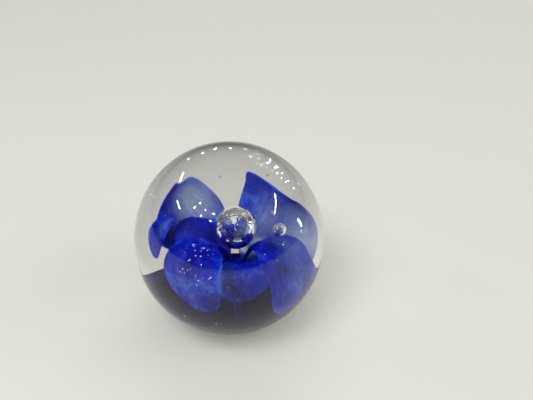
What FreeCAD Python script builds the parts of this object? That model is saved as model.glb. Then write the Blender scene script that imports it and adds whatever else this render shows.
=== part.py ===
import FreeCAD, Part
import math
import os

import Sketcher
from FreeCAD import Placement, Rotation, Vector

# A glass flower paperweight: a clear ball with a flat polished base, and sealed inside it
# a dark ground, a stem, a throat and seven blue petals round one large bubble.
# The origin is the centre of the base and +Z points up. All sizes are millimetres.
# A "lift" is a height above the centre of the ball, so a lift below the centre is negative.

SIZES = {
    # Clear ball: a slightly tall ellipsoid, cut flat below its centre.
    "ball_half_width": 39.0,
    "ball_half_height": 40.2,
    "ball_base_drop": 37.0,
    "ball_base_ease": 0.8,
    # Dark ground: a shallow dish on a body that keeps an even distance from the ball's skin.
    "ground_radius": 31.6,
    "ground_rim_radius": 24.1,
    "ground_dish_depth": 3.1,
    "ground_rim_ease": 0.6,
    # The flower stands a little to the right of the ball's own axis.
    "flower_offset": 1.5,
    "throat_lift": -10.0,
    "throat_mouth_radius": 3.2,
    "throat_mouth_lift": -8.6,
    "throat_wall": 0.7,
    "throat_hollow_depth": 3.6,
    "stem_top_radius": 1.5,
    "stem_top_lift": -13.6,
    "stem_foot_radius": 0.8,
    "stem_foot_lift": -24.6,
    # Petals: lens-shaped in section, thickest on the centre line.
    "petal_thickness": 1.0,
    "petal_start_distance": 4.4,
    "petal_claw_power": 1.25,
    "petal_claw_half_width": 0.9,
    # The large bubble over the throat, one small bubble and three seed bubbles are voids.
    "bubble_radius": 5.6,
    "bubble_right": 1.9,
    "bubble_lift": 4.4,
    "small_bubble_radius": 2.1,
    "small_bubble_right": 14.8,
    "small_bubble_back": -4.3,
    "small_bubble_lift": 5.9,
    "seed_radius": 0.5,
    "seed_a_right": -2.3,
    "seed_a_back": -0.9,
    "seed_a_lift": 26.3,
    "seed_b_right": 12.3,
    "seed_b_back": 4.7,
    "seed_b_lift": 21.0,
    "seed_c_right": 14.0,
    "seed_c_back": -7.3,
    "seed_c_lift": 15.3,
}

# Petals come in two kinds. An arching petal climbs to its rise, runs out level and falls to
# its tip. A rising petal leaves the throat level, swings out and climbs to its tip. Azimuths
# are counted from +X towards +Y, reaches from the flower's axis and lifts from the ball's
# centre. "swell" is how far a petal swings out before its tip, as a share of its reach, and
# "climb" is the share of its height that a rising petal has gained by then.
ARCHING_BOW = 0.25
RISING_BOW = 0.4
RISING_LAG = 0.6


def arching(azimuth, turn, roll, reach, swell, rise, tip_lift, half_width, tip_power=0.5):
    """The control points and blade of an arching petal."""
    return {
        "azimuth": azimuth, "turn": turn, "roll": roll,
        "bow_reach": ARCHING_BOW * reach, "bow_lift": rise,
        "crest_reach": swell * reach, "crest_lift": rise,
        "tip_reach": reach, "tip_lift": tip_lift,
        "half_width": half_width, "widest_at": 0.7, "tip_power": tip_power, "cup": 0.15,
    }


def rising(azimuth, turn, roll, reach, swell, climb, tip_lift, half_width):
    """The control points and blade of a rising petal."""
    throat_lift = SIZES["throat_lift"]
    height = tip_lift - throat_lift
    return {
        "azimuth": azimuth, "turn": turn, "roll": roll,
        "bow_reach": RISING_BOW * reach, "bow_lift": throat_lift + (climb - RISING_LAG) * height,
        "crest_reach": swell * reach, "crest_lift": throat_lift + climb * height,
        "tip_reach": reach, "tip_lift": tip_lift,
        "half_width": half_width, "widest_at": 0.55, "tip_power": 0.6, "cup": 0.05,
    }


# The centre line is a cubic curve whose control points are the throat, the bow, the crest and
# the tip. Its plane turns by "turn" degrees on the way to the tip, and the blade rolls about
# its own centre line by "roll". "widest_at" is the part of the way where the blade is widest,
# a small "tip_power" makes a blunt tip, and "cup" raises the edges by that share of the half
# width.
PETALS = {
    "petal_back_left": rising(
        132, 15, -10, reach=19, swell=1.2, climb=0.6, tip_lift=9, half_width=10),
    "petal_inner_left": rising(
        155, -15, -30, reach=13.5, swell=0.9, climb=0.85, tip_lift=1, half_width=9),
    "petal_left": arching(
        165, 25, -10, reach=23, swell=1.0, rise=12, tip_lift=-3, half_width=5),
    "petal_front_left": arching(
        -140, 25, 0, reach=20, swell=1.4, rise=10, tip_lift=-14, half_width=10.5),
    "petal_front": arching(
        -90, 15, -5, reach=15, swell=0.9, rise=-2, tip_lift=-12, half_width=9.5),
    "petal_front_right": arching(
        -35, -5, -5, reach=23, swell=0.8, rise=7, tip_lift=-17, half_width=9.5, tip_power=0.3),
    "petal_back_right": rising(
        44, -15, 25, reach=19, swell=1.15, climb=0.5, tip_lift=4, half_width=14.5),
}

THROAT_REACH = 1.5
BLADE_STATIONS = 9
LAST_STATION = 0.985
TIP_THICKNESS_SHARE = 0.35

doc = FreeCAD.newDocument("Paperweight")
sheet = doc.addObject("Spreadsheet::Sheet", "Sizes")


def fill_sheet():
    """Write every driving size into the sheet, one named cell each."""
    named = dict(SIZES)
    for petal, values in PETALS.items():
        for quantity, value in values.items():
            named[petal + "_" + quantity] = value
    for row, (name, value) in enumerate(named.items(), start=1):
        sheet.set("A%d" % row, name)
        sheet.set("B%d" % row, str(value))
        sheet.setAlias("B%d" % row, name)
    doc.recompute()


def size(name):
    """Read one driving size back from the sheet."""
    return float(sheet.get(name))


def bind(feature, field, formula):
    """Bind a property to a formula whose names are cells of the sheet."""
    feature.setExpression(field, formula)


def origin_plane(body, role):
    """Find one of the body's own origin planes."""
    return [item for item in body.Origin.OriginFeatures if item.Role == role][0]


def revolved_body(name):
    """Start a body with an empty profile sketch on its XZ plane."""
    body = doc.addObject("PartDesign::Body", name)
    body.Label = name
    sketch = body.newObject("Sketcher::SketchObject", name + "_profile")
    sketch.AttachmentSupport = (origin_plane(body, "XZ_Plane"), [""])
    sketch.MapMode = "FlatFace"
    return body, sketch


def revolve(body, sketch):
    """Turn the body's profile once round the vertical axis."""
    turned = body.newObject("PartDesign::Revolution", body.Name + "_turned")
    turned.Profile = sketch
    turned.ReferenceAxis = (sketch, ["V_Axis"])
    turned.Angle = 360.0
    sketch.Visibility = False
    doc.recompute()
    return turned


def named_constraint(sketch, name, formula, *parts):
    """Add one driving constraint and bind it to a formula."""
    sketch.addConstraint(Sketcher.Constraint(*parts))
    index = sketch.ConstraintCount - 1
    sketch.renameConstraint(index, name)
    bind(sketch, "Constraints." + name, formula)


def ease_edge(body, base, height, formula):
    """Round the edge that lies level at the given height."""
    edges = []
    for index, edge in enumerate(base.Shape.Edges, start=1):
        box = edge.BoundBox
        if box.ZLength < 0.01 and abs(box.ZMin - height) < 0.01:
            edges.append("Edge%d" % index)
    eased = body.newObject("PartDesign::Fillet", body.Name + "_eased")
    eased.Base = (base, edges)
    bind(eased, "Radius", formula)
    doc.recompute()
    return eased


def make_ball():
    """The clear ball before anything is sealed in it, with its base edge eased."""
    body = doc.addObject("PartDesign::Body", "ball_blank")
    egg = body.newObject("PartDesign::AdditiveEllipsoid", "ball_egg")
    bind(egg, "Radius1", "Sizes.ball_half_height")
    bind(egg, "Radius2", "Sizes.ball_half_width")
    bind(egg, "Radius3", "Sizes.ball_half_width")
    flat = body.newObject("PartDesign::SubtractiveBox", "ball_base")
    bind(flat, "Length", "2 * Sizes.ball_half_width")
    bind(flat, "Width", "2 * Sizes.ball_half_width")
    bind(flat, "Height", "Sizes.ball_half_height")
    bind(flat, "Placement.Base.x", "-Sizes.ball_half_width")
    bind(flat, "Placement.Base.y", "-Sizes.ball_half_width")
    bind(flat, "Placement.Base.z", "-Sizes.ball_base_drop - Sizes.ball_half_height")
    bind(body, "Placement.Base.z", "Sizes.ball_base_drop")
    doc.recompute()
    ease_edge(body, flat, -size("ball_base_drop"), "Sizes.ball_base_ease")
    return body


def make_ground():
    """The dark ground: a body that follows the ball's skin, with a dished top."""
    body, sketch = revolved_body("ground_blank")
    radius = size("ground_radius")
    rim_radius = size("ground_rim_radius")
    depth = size("ground_dish_depth")
    middle = size("ball_base_drop")
    rim_height = middle - math.sqrt(radius ** 2 - rim_radius ** 2)
    dish_radius = (rim_radius ** 2 + depth ** 2) / (2 * depth)
    foot = Vector(0, middle - radius, 0)
    rim = Vector(rim_radius, rim_height, 0)
    hollow = Vector(0, rim_height - depth, 0)
    outer_circle = Part.Circle(Vector(0, middle, 0), Vector(0, 0, 1), radius)
    dish_centre = Vector(0, hollow.y + dish_radius, 0)
    dish_circle = Part.Circle(dish_centre, Vector(0, 0, 1), dish_radius)
    down = -math.pi / 2
    outer_end = math.atan2(rim.y - middle, rim.x)
    dish_end = math.atan2(rim.y - dish_centre.y, rim.x)
    outer = sketch.addGeometry(Part.ArcOfCircle(outer_circle, down, outer_end))
    dish = sketch.addGeometry(Part.ArcOfCircle(dish_circle, down, dish_end))
    axis = sketch.addGeometry(Part.LineSegment(foot, hollow))
    sketch.addConstraint([
        Sketcher.Constraint("PointOnObject", outer, 3, -2),
        Sketcher.Constraint("PointOnObject", dish, 3, -2),
        Sketcher.Constraint("Coincident", outer, 2, dish, 2),
        Sketcher.Constraint("Coincident", axis, 1, outer, 1),
        Sketcher.Constraint("Coincident", axis, 2, dish, 1),
        Sketcher.Constraint("Vertical", axis),
        Sketcher.Constraint("PointOnObject", outer, 1, -2),
    ])
    named_constraint(sketch, "middle", "Sizes.ball_base_drop", "DistanceY", -1, 1, outer, 3, middle)
    named_constraint(sketch, "outer", "Sizes.ground_radius", "Radius", outer, radius)
    named_constraint(sketch, "rim", "Sizes.ground_rim_radius", "DistanceX", -1, 1, outer, 2, rim_radius)
    named_constraint(sketch, "dish", "Sizes.ground_dish_depth", "DistanceY", dish, 1, dish, 2, depth)
    turned = revolve(body, sketch)
    ease_edge(body, turned, rim_height, "Sizes.ground_rim_ease")
    return body


def make_stem():
    """The stem: a cone that widens upwards from the ground to the throat."""
    stem = doc.addObject("Part::Cone", "flower_stem")
    stem.Label = "flower_stem"
    bind(stem, "Radius1", "Sizes.stem_foot_radius")
    bind(stem, "Radius2", "Sizes.stem_top_radius")
    bind(stem, "Height", "Sizes.stem_top_lift - Sizes.stem_foot_lift")
    bind(stem, "Placement.Base.x", "Sizes.flower_offset")
    bind(stem, "Placement.Base.z", "Sizes.ball_base_drop + Sizes.stem_foot_lift")
    return stem


def make_throat():
    """The throat: a small trumpet, open at the top, that the petals gather round."""
    body, sketch = revolved_body("flower_throat")
    foot_radius = size("stem_top_radius")
    mouth_radius = size("throat_mouth_radius")
    wall = size("throat_wall")
    depth = size("throat_hollow_depth")
    height = size("throat_mouth_lift") - size("stem_top_lift")
    corners = [
        Vector(0, 0, 0),
        Vector(foot_radius, 0, 0),
        Vector(mouth_radius, height, 0),
        Vector(mouth_radius - wall, height, 0),
        Vector(0, height - depth, 0),
    ]
    for index, corner in enumerate(corners):
        following = corners[(index + 1) % len(corners)]
        sketch.addGeometry(Part.LineSegment(corner, following))
    for index in range(len(corners)):
        joined = (index + 1) % len(corners)
        sketch.addConstraint(Sketcher.Constraint("Coincident", index, 2, joined, 1))
    sketch.addConstraint([
        Sketcher.Constraint("Coincident", 0, 1, -1, 1),
        Sketcher.Constraint("Horizontal", 0),
        Sketcher.Constraint("Horizontal", 2),
        Sketcher.Constraint("Vertical", 4),
    ])
    named_constraint(sketch, "foot", "Sizes.stem_top_radius", "DistanceX", 0, 1, 0, 2, foot_radius)
    named_constraint(sketch, "mouth", "Sizes.throat_mouth_radius", "DistanceX", -1, 1, 1, 2, mouth_radius)
    named_constraint(sketch, "wall", "Sizes.throat_wall", "DistanceX", 2, 2, 2, 1, wall)
    named_constraint(sketch, "hollow", "Sizes.throat_hollow_depth", "DistanceY", 3, 2, 3, 1, depth)
    rise = "Sizes.throat_mouth_lift - Sizes.stem_top_lift"
    named_constraint(sketch, "rise", rise, "DistanceY", -1, 1, 1, 2, height)
    revolve(body, sketch)
    bind(body, "Placement.Base.x", "Sizes.flower_offset")
    bind(body, "Placement.Base.z", "Sizes.ball_base_drop + Sizes.stem_top_lift")
    return body


class Petal:
    """The geometry of one petal, read from the sheet."""

    def __init__(self, name):
        self.name = name
        self.controls = [
            (THROAT_REACH, size("throat_lift")),
            (self.value("bow_reach"), self.value("bow_lift")),
            (self.value("crest_reach"), self.value("crest_lift")),
            (self.value("tip_reach"), self.value("tip_lift")),
        ]

    def value(self, quantity):
        return size(self.name + "_" + quantity)

    def angle(self, along):
        """Azimuth of the centre line, in radians."""
        return math.radians(self.value("azimuth") + self.value("turn") * along ** 2)

    def centre(self, along):
        """Point on the centre line: 0 is the throat and 1 is the tip."""
        rest = 1 - along
        shares = (rest ** 3, 3 * rest ** 2 * along, 3 * rest * along ** 2, along ** 3)
        reach = sum(share * control[0] for share, control in zip(shares, self.controls))
        lift = sum(share * control[1] for share, control in zip(shares, self.controls))
        angle = self.angle(along)
        right = size("flower_offset") + reach * math.cos(angle)
        return Vector(right, reach * math.sin(angle), size("ball_base_drop") + lift)

    def start(self):
        """Where the blade leaves the throat, so that a film of clear glass parts the two."""
        throat = Vector(size("flower_offset"), 0, size("ball_base_drop") + size("throat_lift"))
        along = 0.0
        while (self.centre(along) - throat).Length < size("petal_start_distance"):
            along += 0.005
        return along

    def half_width(self, along):
        """Half the blade's width: a narrow claw, a full middle and a rounded tip."""
        phase = along ** (math.log(0.5) / math.log(self.value("widest_at")))
        power = size("petal_claw_power") if phase < 0.5 else self.value("tip_power")
        half = self.value("half_width") * math.sin(math.pi * phase) ** power
        return max(half, size("petal_claw_half_width"))

    def section(self, along):
        """The closed lens-shaped outline of the blade across its centre line."""
        step = 0.001
        centre = self.centre(along)
        forward = (self.centre(along + step) - self.centre(along - step)).normalize()
        angle = self.angle(along)
        across = Vector(-math.sin(angle), math.cos(angle), 0)
        across = (across - forward * across.dot(forward)).normalize()
        upward = forward.cross(across)
        rolled = Rotation(forward, self.value("roll") * along)
        across = rolled.multVec(across)
        upward = rolled.multVec(upward)
        half = self.half_width(along)
        fullness = TIP_THICKNESS_SHARE + (1 - TIP_THICKNESS_SHARE) * half / self.value("half_width")
        thickness = size("petal_thickness") * fullness
        edge_rise = upward * (self.value("cup") * half)
        left = centre - across * half + edge_rise
        right = centre + across * half + edge_rise
        # The middle pole of a three-pole curve pulls its middle point half as far.
        upper_pole = centre + upward * thickness - edge_rise
        lower_pole = centre - upward * thickness - edge_rise
        curves = []
        for poles in ([left, upper_pole, right], [right, lower_pole, left]):
            curve = Part.BezierCurve()
            curve.setPoles(poles)
            curves.append(curve.toShape())
        return Part.Wire(curves)

    def solid(self):
        """The whole blade, lofted through evenly spaced sections."""
        start = self.start()
        step = (LAST_STATION - start) / (BLADE_STATIONS - 1)
        sections = [self.section(start + index * step) for index in range(BLADE_STATIONS)]
        return Part.makeLoft(sections, True)


def make_petal(name):
    """One blue petal. Its curved blade has no sketch of its own, so its shape is set here."""
    feature = doc.addObject("Part::Feature", name)
    feature.Label = name
    feature.Shape = Petal(name).solid()
    feature.Placement = Placement()
    return feature


def make_bubble(name, radius, right, back, lift):
    """A round void in the clear glass."""
    bubble = doc.addObject("Part::Sphere", name)
    bubble.Label = name
    bind(bubble, "Radius", "Sizes." + radius)
    bind(bubble, "Placement.Base.x", right)
    bind(bubble, "Placement.Base.y", back)
    bind(bubble, "Placement.Base.z", "Sizes.ball_base_drop + " + lift)
    return bubble


def make_bubbles():
    """The large bubble, the small one and the three seeds."""
    bubbles = [
        make_bubble("bubble", "bubble_radius", "Sizes.bubble_right", "0", "Sizes.bubble_lift"),
        make_bubble("small_bubble", "small_bubble_radius", "Sizes.small_bubble_right",
                    "Sizes.small_bubble_back", "Sizes.small_bubble_lift"),
    ]
    for name in ("seed_a", "seed_b", "seed_c"):
        place = ["Sizes." + name + way for way in ("_right", "_back", "_lift")]
        bubbles.append(make_bubble(name, "seed_radius", *place))
    return bubbles


def cut(name, base, tool):
    """Keep what the tool leaves of the base, as a sub-part of this name."""
    result = doc.addObject("Part::Cut", name)
    result.Label = name
    result.Base = base
    result.Tool = tool
    return result


def check(objects):
    """Stop on any failed feature or bad shape."""
    for item in doc.Objects:
        if "Invalid" in item.State or "Error" in item.State:
            raise RuntimeError("failed feature: " + item.Name)
    for item in objects:
        if item.Shape.isNull() or not item.Shape.isValid() or item.Shape.Volume <= 0:
            raise RuntimeError("bad shape: " + item.Label)


fill_sheet()
ball = make_ball()
ground_blank = make_ground()
stem = make_stem()
throat = make_throat()
ground = cut("dark_ground", ground_blank, stem)
petals = [make_petal(name) for name in PETALS]
inclusions = doc.addObject("Part::MultiFuse", "inclusions")
inclusions.Shapes = [ground, stem, throat] + petals + make_bubbles()
clear_ball = cut("clear_glass_ball", ball, inclusions)
doc.recompute()

sub_parts = [clear_ball, ground, stem, throat] + petals
check(sub_parts)
os.makedirs("parts", exist_ok=True)
for sub_part in sub_parts:
    sub_part.Shape.exportStep("parts/" + sub_part.Label + ".step")
    print(sub_part.Label, "%.1f mm3" % sub_part.Shape.Volume)
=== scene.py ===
import math

import bpy
import numpy as np
from mathutils import Euler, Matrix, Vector


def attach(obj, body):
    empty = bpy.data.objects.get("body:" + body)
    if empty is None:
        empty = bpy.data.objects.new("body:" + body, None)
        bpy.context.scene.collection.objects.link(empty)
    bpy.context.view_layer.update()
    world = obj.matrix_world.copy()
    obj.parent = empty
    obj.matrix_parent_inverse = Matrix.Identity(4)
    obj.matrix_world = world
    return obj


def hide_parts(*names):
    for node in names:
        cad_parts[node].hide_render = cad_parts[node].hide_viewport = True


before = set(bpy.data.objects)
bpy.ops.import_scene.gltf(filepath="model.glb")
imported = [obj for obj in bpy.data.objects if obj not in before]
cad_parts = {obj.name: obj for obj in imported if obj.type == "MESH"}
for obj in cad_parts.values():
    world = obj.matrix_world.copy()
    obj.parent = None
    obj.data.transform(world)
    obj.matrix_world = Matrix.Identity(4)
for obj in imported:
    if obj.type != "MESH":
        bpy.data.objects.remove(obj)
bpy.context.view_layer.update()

MM = 0.001
TAU = 2 * math.pi

# Ball and flower sizes, in millimetres, about the centre of the ball.
BALL_HALF_WIDTH = 39.0
BALL_HALF_HEIGHT = 40.2
BASE_DROP = 37.0
BASE_EASE = 0.8
FLOWER_OFFSET = 1.5
THROAT_LIFT = -10.0
CLAW_POWER = 1.25
CLAW_HALF = 0.9
PETAL_THICKNESS = 0.8
GLASS_INDEX = 1.5

# The two kinds of petal, as in the CAD: an arching one climbs to its rise, runs out level and
# falls to its tip, and a rising one leaves the throat level, swings out and climbs to its tip.
ARCHING_BOW = 0.25
RISING_BOW = 0.4
RISING_LAG = 0.6


def arching(azimuth, turn, roll, reach, swell, rise, tip_lift, half, **look):
    shape = dict(
        azimuth=azimuth, turn=turn, roll=roll, bow=(ARCHING_BOW * reach, rise),
        crest=(swell * reach, rise), tip=(reach, tip_lift), half=half, widest=0.7, blunt=0.5, cup=0.15)
    return shape | look


def rising(azimuth, turn, roll, reach, swell, climb, tip_lift, half, **look):
    height = tip_lift - THROAT_LIFT
    shape = dict(
        azimuth=azimuth, turn=turn, roll=roll,
        bow=(RISING_BOW * reach, THROAT_LIFT + (climb - RISING_LAG) * height),
        crest=(swell * reach, THROAT_LIFT + climb * height), tip=(reach, tip_lift),
        half=half, widest=0.55, blunt=0.6, cup=0.05)
    return shape | look


# Beside its form, each petal has the look of its glass: "depth" darkens it, "milk" lists its
# pale windows (see milkiness) and "pulls" are where the hot glass was drawn out.
PETALS = {
    "petal_back_left": rising(
        132, 15, -10, reach=19, swell=1.2, climb=0.6, tip_lift=9, half=10, depth=0.0,
        pulls=[(0.98, 0.2, 0.15, 0.8, (1.0, 1.5, 1.5)), (0.6, 1.0, 0.25, 0.6, (-2.5, 0.0, 0.5))],
        milk=[(0.66, -0.45, 0.26, 0.65, 1.0), (0.45, -0.1, 0.2, 0.6, 0.5)]),
    "petal_inner_left": rising(
        155, -15, -30, reach=13.5, swell=0.9, climb=0.85, tip_lift=1, half=9, depth=0.13,
        milk=[(0.6, 0.5, 0.2, 0.4, 0.2)]),
    "petal_left": arching(
        165, 25, -10, reach=23, swell=1.0, rise=12, tip_lift=-3, half=5, start=0.6, depth=0.0,
        milk=[(0.72, 0.1, 0.2, 0.45, 0.55)]),
    "petal_front_left": arching(
        -140, 25, 0, reach=20, swell=1.4, rise=10, tip_lift=-14, half=10.5, depth=0.0,
        milk=[(0.75, -0.5, 0.12, 0.35, 0.2)]),
    "petal_front": arching(
        -90, 15, -5, reach=15, swell=0.9, rise=-2, tip_lift=-12, half=9.5, depth=0.05,
        milk=[(0.6, -0.7, 0.22, 0.4, 0.25)]),
    "petal_front_right": arching(
        -35, -5, -5, reach=23, swell=0.8, rise=7, tip_lift=-17, half=9.5, blunt=0.3, depth=0.08,
        pulls=[(0.95, -1.0, 0.1, 0.7, (-2.0, -1.0, -2.0)), (0.9, 1.0, 0.1, 0.7, (2.5, 1.0, 0.5))],
        milk=[(0.8, 0.4, 0.2, 0.5, 0.45), (0.55, 0.65, 0.25, 0.4, 0.6)]),
    "petal_back_right": rising(
        44, -15, 25, reach=19, swell=1.15, climb=0.5, tip_lift=4, half=14.5, skew=0.3, depth=0.0,
        pulls=[(0.75, 1.0, 0.15, 0.6, (-4.0, 0.5, 0.5))],
        milk=[(0.66, -0.5, 0.30, 0.75, 1.0), (0.8, -0.85, 0.2, 0.4, 1.05), (0.55, 0.3, 0.22, 0.4, 0.6),
              (0.33, 0.1, 0.07, 0.35, 1.6), (0.23, 0.8, 0.05, 0.45, 1.6)]),
}


def to_scene(points):
    """Millimetres about the ball's centre to metres in the shared frame."""
    points = np.asarray(points, float)
    return (points + np.array([0.0, 0.0, BASE_DROP])) * MM


# ---------------------------------------------------------------- meshes
def make_object(name, vertices, faces, smooth=True):
    mesh = bpy.data.meshes.new(name)
    mesh.from_pydata([tuple(v) for v in vertices], [], faces)
    mesh.validate()
    mesh.update()
    if smooth:
        mesh.polygons.foreach_set("use_smooth", [True] * len(mesh.polygons))
    piece = bpy.data.objects.new(name, mesh)
    bpy.context.scene.collection.objects.link(piece)
    return piece


def revolve(profile, segments, first=0, inward=False):
    """Turn a (radius, height) profile that starts and ends on the axis once round it."""
    vertices = [(0.0, 0.0, profile[0][1])]
    rings = profile[1:-1]
    for radius, height in rings:
        for index in range(segments):
            angle = TAU * index / segments
            vertices.append((radius * math.cos(angle), radius * math.sin(angle), height))
    vertices.append((0.0, 0.0, profile[-1][1]))
    last = len(vertices) - 1
    faces = []
    for index in range(segments):
        after = (index + 1) % segments
        faces.append((0, 1 + index, 1 + after))
        for ring in range(len(rings) - 1):
            upper = 1 + ring * segments
            lower = upper + segments
            faces.append((upper + index, lower + index, lower + after, upper + after))
        base = 1 + (len(rings) - 1) * segments
        faces.append((last, base + after, base + index))
    if inward:
        faces = [tuple(reversed(face)) for face in faces]
    faces = [tuple(first + corner for corner in face) for face in faces]
    return np.array(vertices), faces


def ball_profile(steps=110):
    """From the crown down the side, round the eased edge and across the flat base."""
    end = math.asin(BASE_DROP / BALL_HALF_HEIGHT)
    points = []
    for index in range(steps + 1):
        angle = math.pi / 2 - (math.pi / 2 + end) * index / steps
        points.append((BALL_HALF_WIDTH * math.cos(angle), BALL_HALF_HEIGHT * math.sin(angle)))
    edge_radius = points[-1][0]
    points = [p for p in points if p[1] > -BASE_DROP + BASE_EASE * 0.7]
    for share in (0.35, 0.75, 1.0):
        angle = share * math.pi / 2 * 0.72
        drop = BASE_EASE * 0.7 * math.cos(angle + 0.44)
        points.append((edge_radius + 0.25 - BASE_EASE * 1.1 * share ** 1.5, -BASE_DROP + max(drop, 0.0)))
    for share in (0.8, 0.5, 0.2):
        points.append((edge_radius * share, -BASE_DROP))
    points.append((0.0, -BASE_DROP))
    points[0] = (0.0, BALL_HALF_HEIGHT)
    return points


def bubble_profile(radius, tail, steps):
    """A round bubble whose lower end is drawn out by the tail's share."""
    points = []
    for index in range(steps + 1):
        angle = math.pi / 2 - math.pi * index / steps
        height = math.sin(angle)
        stretch = 1 + tail * max(0.0, -height) ** 3
        points.append((radius * math.cos(angle), radius * height * stretch))
    points[0] = (0.0, points[0][1])
    points[-1] = (0.0, points[-1][1])
    return points


def dimple(vertices, radius):
    """Rough the upper part of the large bubble, so that it glitters."""
    random = np.random.default_rng(5)
    rise = vertices[:, 2] / radius
    share = np.clip((rise + 0.15) / 0.5, 0, 1) * np.clip((0.97 - rise) / 0.1, 0, 1)
    waves = np.zeros(len(vertices))
    for _ in range(22):
        direction = random.normal(size=3)
        direction *= random.uniform(2.5, 8.0) / np.linalg.norm(direction)
        waves += np.sin(vertices @ direction + random.uniform(0, TAU))
    return vertices * (1 + 0.0016 * share * waves)[:, None]


def make_ball():
    vertices, faces = revolve(ball_profile(), 192)
    all_vertices = [vertices]
    count = len(vertices)
    bubbles = (
        (5.9, 0.13, (1.8, 0.0, 4.2), 224),
        (2.1, 0.0, (14.8, -4.3, 5.9), 48),
        (0.5, 0.0, (-2.3, -0.9, 26.3), 24),
        (0.5, 0.0, (12.3, 4.7, 21.0), 24),
        (0.5, 0.0, (14.0, -7.3, 15.3), 24),
    )
    for radius, tail, centre, segments in bubbles:
        profile = bubble_profile(radius, tail, segments // 2)
        inner, inner_faces = revolve(profile, segments, count, inward=True)
        if radius > 5:
            inner = dimple(inner, radius)
        all_vertices.append(inner + np.array(centre))
        faces += inner_faces
        count += len(inner)
    ball = make_object("ball_glass", to_scene(np.vstack(all_vertices)), faces)
    return ball


def spine(shape, along):
    """Centre line of a petal, in millimetres about the ball's centre."""
    controls = np.array([(1.5, THROAT_LIFT), shape["bow"], shape["crest"], shape["tip"]])
    along = along[:, None]
    rest = 1 - along
    line = (rest ** 3 * controls[0] + 3 * rest ** 2 * along * controls[1]
            + 3 * rest * along ** 2 * controls[2] + along ** 3 * controls[3])
    angle = np.radians(shape["azimuth"] + shape["turn"] * along[:, 0] ** 2)
    right = FLOWER_OFFSET + line[:, 0] * np.cos(angle)
    back = line[:, 0] * np.sin(angle)
    return np.stack([right, back, line[:, 1]], 1), angle


def petal_grid(shape, rows=84, columns=57):
    """Points over the middle of a blade, and how far along and across it each one lies."""
    start = shape.get("start", 0.06)
    along = start + (1 - start) * np.sin(np.linspace(0, math.pi / 2, rows)) ** 0.9
    across = np.linspace(-1, 1, columns)
    centre, angle = spine(shape, along)
    ahead, _ = spine(shape, along + 0.001)
    behind, _ = spine(shape, along - 0.001)
    forward = ahead - behind
    forward /= np.linalg.norm(forward, axis=1)[:, None]
    side = np.stack([-np.sin(angle), np.cos(angle), 0 * angle], 1)
    side -= (side * forward).sum(1)[:, None] * forward
    side /= np.linalg.norm(side, axis=1)[:, None]
    upward = np.cross(forward, side)
    roll = np.radians(shape["roll"]) * along
    rolled_side = np.cos(roll)[:, None] * side + np.sin(roll)[:, None] * upward
    rolled_up = -np.sin(roll)[:, None] * side + np.cos(roll)[:, None] * upward
    phase = along ** (math.log(0.5) / math.log(shape["widest"]))
    power = np.where(phase < 0.5, CLAW_POWER, shape["blunt"])
    half = shape["half"] * np.clip(np.sin(math.pi * np.clip(phase, 0, 1)), 0, 1) ** power
    half = np.where(phase < 0.5, np.maximum(half, CLAW_HALF), half)
    if start > 0.1:
        half *= np.clip((along - start) / 0.25, 0, 1) ** 0.7
    half[-1] = 0.02
    grid = (centre[:, None, :] + (half[:, None] * across[None, :])[:, :, None] * rolled_side[:, None, :]
            + (shape["cup"] * half[:, None] * across[None, :] ** 2)[:, :, None] * rolled_up[:, None, :])
    # A skewed tip: one edge runs on while the other stops short.
    lead = shape.get("skew", 0.0) * half[:, None] * across[None, :] * np.clip(along, 0, 1)[:, None] ** 2
    grid += lead[:, :, None] * forward[:, None, :]
    for pull_along, pull_across, size_along, size_across, push in shape.get("pulls", ()):
        distance = (((along[:, None] - pull_along) / size_along) ** 2
                    + ((across[None, :] - pull_across) / size_across) ** 2)
        grid += np.exp(-distance)[:, :, None] * np.array(push)
    # Long folds that run down the blade, and finer ones between them.
    start_phase = shape["azimuth"] * 0.1
    wander = 0.5 * np.sin(5 * along + start_phase)
    fold = np.sin(5.5 * (across[None, :] + wander[:, None]) + start_phase)
    fine = np.sin(17 * (across[None, :] + 0.6 * wander[:, None]) + 3 * start_phase)
    ease = np.sin(math.pi * np.clip(along, 0, 1)) ** 0.7
    depth = (0.34 * fold + 0.09 * fine) * ease[:, None]
    grid += depth[:, :, None] * rolled_up[:, None, :]
    return grid, along, across


def milkiness(shape, along, across):
    """How pale and thin the blue is: soft windows, each (along, across, size, size, strength)."""
    total = np.zeros((len(along), len(across)))
    for middle_along, middle_across, size_along, size_across, strength in shape["milk"]:
        distance = (((along[:, None] - middle_along) / size_along) ** 2
                    + ((across[None, :] - middle_across) / size_across) ** 2)
        total = np.maximum(total, strength * np.exp(-distance))
    return total


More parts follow.
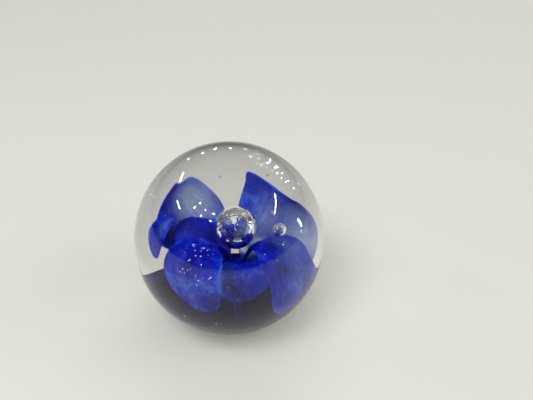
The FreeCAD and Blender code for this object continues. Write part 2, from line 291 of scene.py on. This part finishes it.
def make_petal(name, shape):
    """A closed lens-shaped blade round the middle surface, with its look as attributes."""
    grid, along, across = petal_grid(shape)
    rows, columns = grid.shape[:2]
    down_rows = np.gradient(grid, axis=0)
    down_columns = np.gradient(grid, axis=1)
    normal = np.cross(down_rows, down_columns)
    normal /= np.linalg.norm(normal, axis=2)[:, :, None] + 1e-9
    taper = np.clip(np.minimum(np.arange(rows), np.arange(rows)[::-1]) / 6.0, 0, 1)
    body = PETAL_THICKNESS / 2 * np.sqrt(np.clip(1 - across ** 2, 0, 1))[None, :] * taper[:, None]
    upper = grid + normal * body[:, :, None]
    lower = grid - normal * body[:, :, None]
    index_upper = np.arange(rows * columns).reshape(rows, columns)
    index_lower = index_upper.copy()
    inner = index_lower[1:-1, 1:-1]
    inner[:] = rows * columns + np.arange(inner.size).reshape(inner.shape)
    vertices = np.vstack([upper.reshape(-1, 3), lower[1:-1, 1:-1].reshape(-1, 3)])
    faces = []
    for index, turned in ((index_upper, False), (index_lower, True)):
        quads = np.stack([index[:-1, :-1], index[1:, :-1], index[1:, 1:], index[:-1, 1:]], 2).reshape(-1, 4)
        faces += (quads[:, ::-1] if turned else quads).tolist()
    piece = make_object(name + "_veil", to_scene(vertices), faces)
    values = {
        "lengthwise": np.broadcast_to(along[:, None], (rows, columns)),
        "sideways": np.broadcast_to(across[None, :], (rows, columns)),
        "milk": milkiness(shape, along, across),
        "depth": np.full((rows, columns), shape["depth"]),
    }
    for label, table in values.items():
        data = np.zeros(len(vertices), np.float32)
        data[index_upper] = table
        data[index_lower] = table
        piece.data.attributes.new(label, "FLOAT", "POINT").data.foreach_set("value", data)
    return piece


def small_sphere(centre, radius, first):
    """A low ball of 8 by 5 faces, enough for a speck."""
    profile = [(radius * math.sin(math.pi * i / 5), radius * math.cos(math.pi * i / 5)) for i in range(6)]
    profile[0], profile[-1] = (0.0, radius), (0.0, -radius)
    vertices, faces = revolve(profile, 8, first)
    return vertices + np.asarray(centre), faces


def make_glint_specks():
    """Glowing specks over the three front petals, and a few low over the front of the ground: painted
    glints.
    """
    random = np.random.default_rng(11)
    centres = []
    for name, count, along_range, across_range in (
            ("petal_front_left", 36, (0.40, 0.86), (-0.55, 0.65)),
            ("petal_front", 4, (0.4, 0.9), (-0.7, 0.7)),
            ("petal_front_right", 5, (0.35, 0.8), (-0.7, 0.7))):
        grid, along, across = petal_grid(PETALS[name])
        for _ in range(count):
            row = np.searchsorted(along, random.uniform(*along_range))
            column = np.searchsorted(across, random.uniform(*across_range))
            point = grid[min(row, len(along) - 1), column]
            outward = point / np.linalg.norm(point)
            centres.append(point + outward * random.uniform(0.8, 1.6))
    for _ in range(9):
        azimuth = math.radians(random.uniform(-125, -95))
        tilt = math.radians(random.uniform(-34, -22))
        reach = 34.5
        level = reach * math.cos(tilt)
        centres.append((level * math.cos(azimuth), level * math.sin(azimuth), reach * math.sin(tilt)))
    all_vertices, all_faces, count = [], [], 0
    for centre_point in centres:
        vertices, faces = small_sphere(centre_point, random.uniform(0.045, 0.13), count)
        all_vertices.append(vertices)
        all_faces += faces
        count += len(vertices)
    return make_object("painted_glints", to_scene(np.vstack(all_vertices)), all_faces)


# ---------------------------------------------------------------- materials
class Shader:
    """A node material under construction."""

    def __init__(self, name):
        self.material = bpy.data.materials.new(name)
        self.material.use_nodes = True
        self.tree = self.material.node_tree
        self.tree.nodes.clear()

    def node(self, kind, inputs=None, **properties):
        made = self.tree.nodes.new("ShaderNode" + kind)
        for key, value in properties.items():
            setattr(made, key, value)
        for key, value in (inputs or {}).items():
            if isinstance(value, bpy.types.NodeSocket):
                self.tree.links.new(value, made.inputs[key])
            else:
                made.inputs[key].default_value = value
        return made

    def math(self, operation, *values):
        return self.node("Math", dict(enumerate(values)), operation=operation).outputs[0]

    def attribute(self, name):
        return self.node("Attribute", attribute_name=name).outputs["Fac"]

    def spread(self, value, low, high, new_low, new_high):
        made = self.node("MapRange", {
            "Value": value, "From Min": low, "From Max": high, "To Min": new_low, "To Max": new_high})
        return made.outputs[0]

    def noise(self, vector, scale, detail=4.0, roughness=0.6, distortion=0.0):
        made = self.node("TexNoise", {"Vector": vector, "Scale": scale, "Detail": detail,
                                      "Roughness": roughness, "Distortion": distortion})
        return made.outputs["Fac"]

    def ramp(self, value, stops):
        made = self.node("ValToRGB", {0: value})
        elements = made.color_ramp.elements
        while len(elements) < len(stops):
            elements.new(0.5)
        for element, (position, color) in zip(elements, stops):
            element.position = position
            element.color = (*color, 1)
        return made.outputs[0]

    def mix(self, share, first, second):
        return self.node("MixShader", {0: share, 1: first, 2: second}).outputs[0]

    def finish(self, surface):
        self.node("OutputMaterial", {"Surface": surface})
        return self.material


def glass_material():
    shader = Shader("clear_glass")
    glass = shader.node("BsdfPrincipled", {
        "Base Color": (1, 1, 1, 1), "Roughness": 0.0, "IOR": GLASS_INDEX, "Transmission Weight": 1.0})
    clear = shader.node("BsdfTransparent", {"Color": (0.6, 0.6, 0.58, 1)})
    path = shader.node("LightPath")
    return shader.finish(shader.mix(path.outputs["Is Shadow Ray"], glass.outputs[0], clear.outputs[0]))


def petal_material():
    shader = Shader("petal_glass")
    along = shader.attribute("lengthwise")
    across = shader.attribute("sideways")
    milk = shader.attribute("milk")
    depth = shader.attribute("depth")
    place = shader.node("TexCoord").outputs["Object"]
    # Streaks of colour drawn out down the blade, and soft clouds between them.
    warp = shader.noise(place, 90.0, 2.0)
    warped = shader.math("MULTIPLY_ADD", warp, 0.22, across)
    line = shader.node("CombineXYZ", {0: shader.math("MULTIPLY", warped, 12.0), 1: along}).outputs[0]
    streak = shader.spread(shader.noise(line, 1.6, 8.0, 0.78, 0.9), 0.26, 0.74, -0.5, 0.5)
    cloud = shader.spread(shader.noise(place, 110.0, 5.0, 0.6, 0.5), 0.33, 0.67, -0.5, 0.5)
    wisp = shader.spread(shader.noise(place, 420.0, 4.0, 0.65, 1.2), 0.33, 0.67, -0.5, 0.5)
    edge = shader.math("POWER", shader.math("ABSOLUTE", across), 5.0)
    # Cobalt: painted shade darkens it towards the throat, and it is darker where the petal's depth value is
    # larger.
    value = shader.math("MULTIPLY_ADD", streak, 0.2, 0.58)
    value = shader.math("MULTIPLY_ADD", cloud, 0.8, value)
    value = shader.math("MULTIPLY_ADD", wisp, 0.35, value)
    value = shader.math("MULTIPLY_ADD", edge, 0.18, value)
    value = shader.math("SUBTRACT", value, depth)
    # Painted shade: darker towards the throat.
    value = shader.math("SUBTRACT", value, shader.spread(along, 0.1, 0.45, 0.45, 0.0))
    cobalt = shader.ramp(value, [
        (0.0, (0.0008, 0.0004, 0.06)), (0.25, (0.001, 0.001, 0.24)), (0.5, (0.001, 0.006, 0.42)),
        (0.75, (0.003, 0.028, 0.56)), (1.0, (0.03, 0.11, 0.62))])
    # Milky windows: pale threads in nearly clear glass.
    thread = shader.math("MULTIPLY_ADD", streak, 0.70, 0.50)
    thread = shader.math("MULTIPLY_ADD", cloud, 0.4, thread)
    pale = shader.ramp(thread, [
        (0.0, (0.006, 0.03, 0.40)), (0.4, (0.05, 0.10, 0.34)), (0.65, (0.16, 0.24, 0.44)),
        (1.0, (0.46, 0.54, 0.70))])
    color = shader.node("Mix", {"Factor": milk, 6: cobalt, 7: pale}, data_type="RGBA").outputs[2]
    clearing = shader.math("MULTIPLY", milk, shader.spread(thread, 0.15, 0.9, 0.90, 0.32))
    alpha = shader.math("SUBTRACT", 0.96, clearing)
    grain = shader.noise(place, 900.0, 2.0)
    height = shader.math("MULTIPLY_ADD", streak, 0.5, grain)
    bump = shader.node("Bump", {"Height": height, "Strength": 0.3, "Distance": 0.0004}).outputs[0]
    diffuse = shader.node("BsdfDiffuse", {"Color": color, "Normal": bump})
    glow = shader.node("BsdfTranslucent", {"Color": color, "Normal": bump})
    gloss = shader.node("BsdfGlossy", {"Color": (0.6, 0.75, 1, 1), "Roughness": 0.14, "Normal": bump})
    body = shader.mix(0.42, diffuse.outputs[0], glow.outputs[0])
    body = shader.mix(0.018, body, gloss.outputs[0])
    see_through = shader.node("BsdfTransparent", {"Color": (0.86, 0.90, 1.0, 1)})
    return shader.finish(shader.mix(alpha, see_through.outputs[0], body))


def dark_material():
    shader = Shader("dark_glass")
    place = shader.node("TexCoord").outputs["Object"]
    parts = shader.node("SeparateXYZ", {0: place}).outputs
    patch = shader.spread(shader.noise(place, 110.0, 5.0), 0.44, 0.62, 0.0, 1.0)
    side = shader.spread(parts[0], -0.010, -0.024, 0.0, 1.0)
    share = shader.math("MULTIPLY", patch, shader.math("ADD", side, 0.12))
    color = shader.ramp(share, [
        (0.0, (0.0028, 0.001, 0.024)), (0.25, (0.010, 0.001, 0.045)), (1.0, (0.06, 0.004, 0.32))])
    return shader.finish(shader.node("BsdfDiffuse", {"Color": color}).outputs[0])


def stem_material():
    shader = Shader("stem_glass")
    place = shader.node("TexCoord").outputs["Object"]
    stretched = shader.node("Mapping", {"Vector": place, "Scale": (1, 1, 0.2)}).outputs[0]
    streak = shader.noise(stretched, 900.0, 5.0)
    color = shader.ramp(streak, [(0.35, (0.001, 0.002, 0.12)), (0.65, (0.004, 0.012, 0.62))])
    body = shader.node("BsdfDiffuse", {"Color": color}).outputs[0]
    glow = shader.node("BsdfTranslucent", {"Color": color}).outputs[0]
    return shader.finish(shader.mix(0.5, body, glow))


def floor_material():
    """Plain pale paint."""
    shader = Shader("floor_paint")
    return shader.finish(shader.node("BsdfDiffuse", {"Color": (0.36, 0.355, 0.33, 1)}).outputs[0])


def painted_glint_material():
    """Specks standing for seed bubbles that glow white by emission: painted glints."""
    shader = Shader("painted_glint_glass")
    place = shader.node("TexCoord").outputs["Object"]
    # Painted glint: a noise sets how brightly each speck glows white.
    painted_glint_glow = shader.spread(shader.noise(place, 400.0, 1.0), 0.3, 0.7, 0.0, 3.2)
    body = shader.node("BsdfPrincipled", {
        "Base Color": (0.9, 0.93, 1.0, 1), "Roughness": 0.3, "Emission Color": (0.85, 0.9, 1.0, 1),
        "Emission Strength": painted_glint_glow})
    material = shader.finish(body.outputs[0])
    material.cycles.emission_sampling = "NONE"
    return material


# ---------------------------------------------------------------- pieces
glass = glass_material()
petal_glass = petal_material()
dark_glass = dark_material()
stem_glass = stem_material()

ball = make_ball()
ball.data.materials.append(glass)
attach(ball, "root")
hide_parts("clear_glass_ball")

for name, shape in PETALS.items():
    veil = make_petal(name, shape)
    veil.data.materials.append(petal_glass)
    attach(veil, "root")
    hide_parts(name)

# Painted glints: small specks that glow white by emission.
glint_specks = make_glint_specks()
glint_specks.data.materials.append(painted_glint_material())
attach(glint_specks, "root")

CAD_LOOKS = {"dark_ground": dark_glass, "flower_stem": stem_glass, "flower_throat": stem_glass}
for name, material in CAD_LOOKS.items():
    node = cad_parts[name]
    for slot in node.material_slots:
        slot.material = material

# ---------------------------------------------------------------- stage
FLOOR_HALF = 2
FLOOR_HEIGHT = -0.0002
corners = [(FLOOR_HALF * x, FLOOR_HALF * y, FLOOR_HEIGHT) for x, y in ((-1, -1), (1, -1), (1, 1), (-1, 1))]
floor = make_object("floor", corners, [(0, 1, 2, 3)], smooth=False)
floor.data.materials.append(floor_material())

BALL_CENTRE = Vector(to_scene((0, 0, 0)))
LAMP_DISTANCE = 1.2
SOFT_DISTANCE = 1.1


def heading(azimuth, elevation):
    """The unit vector that points at this azimuth and elevation, in degrees."""
    azimuth, elevation = math.radians(azimuth), math.radians(elevation)
    level = math.cos(elevation)
    return Vector((level * math.cos(azimuth), level * math.sin(azimuth), math.sin(elevation)))


def area_light(name, place, size, power, turn=0.0):
    data = bpy.data.lights.new(name, "AREA")
    data.shape = "RECTANGLE"
    data.size, data.size_y = size
    data.energy = power
    light = bpy.data.objects.new(name, data)
    light.location = place
    aim = (BALL_CENTRE - place).to_track_quat("-Z", "Y")
    light.rotation_euler = (aim @ Euler((0, 0, math.radians(turn))).to_quaternion()).to_euler()
    light.visible_camera = False
    bpy.context.scene.collection.objects.link(light)
    return light


def soft_light(name, azimuth, elevation, size, power):
    """A big studio light that leaves no mirror image of its own in the glass."""
    light = area_light(name, BALL_CENTRE + SOFT_DISTANCE * heading(azimuth, elevation), size, power)
    light.visible_glossy = False
    light.visible_transmission = False


def lamp(name, azimuth, elevation, length, width, turn, brightness):
    """A small bare lamp, there for its glint."""
    power = brightness * math.pi * length * width
    place = BALL_CENTRE + LAMP_DISTANCE * heading(azimuth, elevation)
    area_light(name, place, (length, width), power, turn=turn)


soft_light("key", -125, 58, (0.5, 0.5), 15)
soft_light("fill", -20, 40, (0.6, 0.6), 5)
soft_light("back", 80, 50, (1.0, 0.4), 5)

# Glints: (azimuth, elevation, length, width, turn, brightness)
LAMPS = [
    (0, 38, 0.50, 0.022, 13, 70),
    (135, 31, 0.26, 0.025, 20, 70),
    (175, 36, 0.24, 0.022, 2, 70),
    (7, 5, 0.16, 0.07, 90, 26),
    (3, -0.5, 0.05, 0.02, 90, 40),
    (-27, 7, 0.03, 0.03, 0, 60),
]
for index, values in enumerate(LAMPS):
    lamp("lamp_%d" % index, *values)
for index in range(7):
    lamp("row_lamp_%d" % index, 72 - 6 * index, 28 - 2.5 * index, 0.026, 0.026, 0, 100)
    lamp("second_row_lamp_%d" % index, 62 - 4 * index, 36 - 2.5 * index, 0.02, 0.02, 0, 100)
for index in range(8):
    lamp("crown_lamp_%d" % index, 112 - 8 * index, 13 + 3 * (index % 2), 0.035, 0.02, 30 * index, 60)
for index in range(6):
    lamp("top_lamp_%d" % index, -164 + 20 * (index % 3), 50 + 8 * (index // 3), 0.035, 0.035, 0, 130)


def make_world():
    """A dim room, lighter towards the top and the back. The camera sees a plain pale wall."""
    world = bpy.data.worlds.new("studio")
    world.use_nodes = True
    tree = world.node_tree
    background = tree.nodes["Background"]
    coordinates = tree.nodes.new("ShaderNodeTexCoord")
    parts = tree.nodes.new("ShaderNodeSeparateXYZ")
    height = tree.nodes.new("ShaderNodeMath")
    height.operation = "MULTIPLY_ADD"
    height.inputs[1].default_value = 0.35
    shade = tree.nodes.new("ShaderNodeValToRGB")
    low, high = shade.color_ramp.elements
    low.position, low.color = 0.0, (0.01, 0.008, 0.007, 1)
    high.position, high.color = 1.0, (0.3, 0.3, 0.29, 1)
    path = tree.nodes.new("ShaderNodeLightPath")
    choose = tree.nodes.new("ShaderNodeMix")
    choose.data_type = "RGBA"
    choose.inputs["B"].default_value = (0.6, 0.6, 0.58, 1)
    for output, value in (
            (coordinates.outputs["Generated"], parts.inputs[0]),
            (parts.outputs["Y"], height.inputs[0]), (parts.outputs["Z"], height.inputs[2]),
            (height.outputs[0], shade.inputs[0]), (shade.outputs[0], choose.inputs["A"]),
            (path.outputs["Is Camera Ray"], choose.inputs["Factor"]),
            (choose.outputs["Result"], background.inputs["Color"])):
        tree.links.new(output, value)
    return world


bpy.context.scene.world = make_world()

# ---------------------------------------------------------------- camera
LENS = 50
SENSOR = 36
ELEVATION = math.radians(38)
DISTANCE = 0.307
BALL_RIGHT = -0.069
BALL_DOWN = 0.071

camera_data = bpy.data.cameras.new("camera")
camera_data.sensor_width = SENSOR
camera_data.lens = LENS
camera = bpy.data.objects.new("camera", camera_data)
camera.location = BALL_CENTRE + DISTANCE * Vector((0, -math.cos(ELEVATION), math.sin(ELEVATION)))
# Aim so that the ball sits left of and below the middle of the frame: the direction to the
# ball, "sight" in the camera's own axes, has to come out as the true one.
sight = Vector((BALL_RIGHT, -BALL_DOWN, -LENS / SENSOR)).normalized()
level = math.hypot(sight.y, sight.z)
pitch = math.acos(math.sin(ELEVATION) / level) - math.atan2(sight.y, -sight.z)
yaw = math.atan2(sight.x, sight.y * math.cos(pitch) - sight.z * math.sin(pitch))
camera.rotation_euler = (pitch, 0, yaw)
bpy.context.scene.collection.objects.link(camera)
bpy.context.scene.camera = camera

scene = bpy.context.scene
scene.view_settings.view_transform = "Standard"
scene.cycles.transparent_max_bounces = 32

bpy.context.view_layer.update()
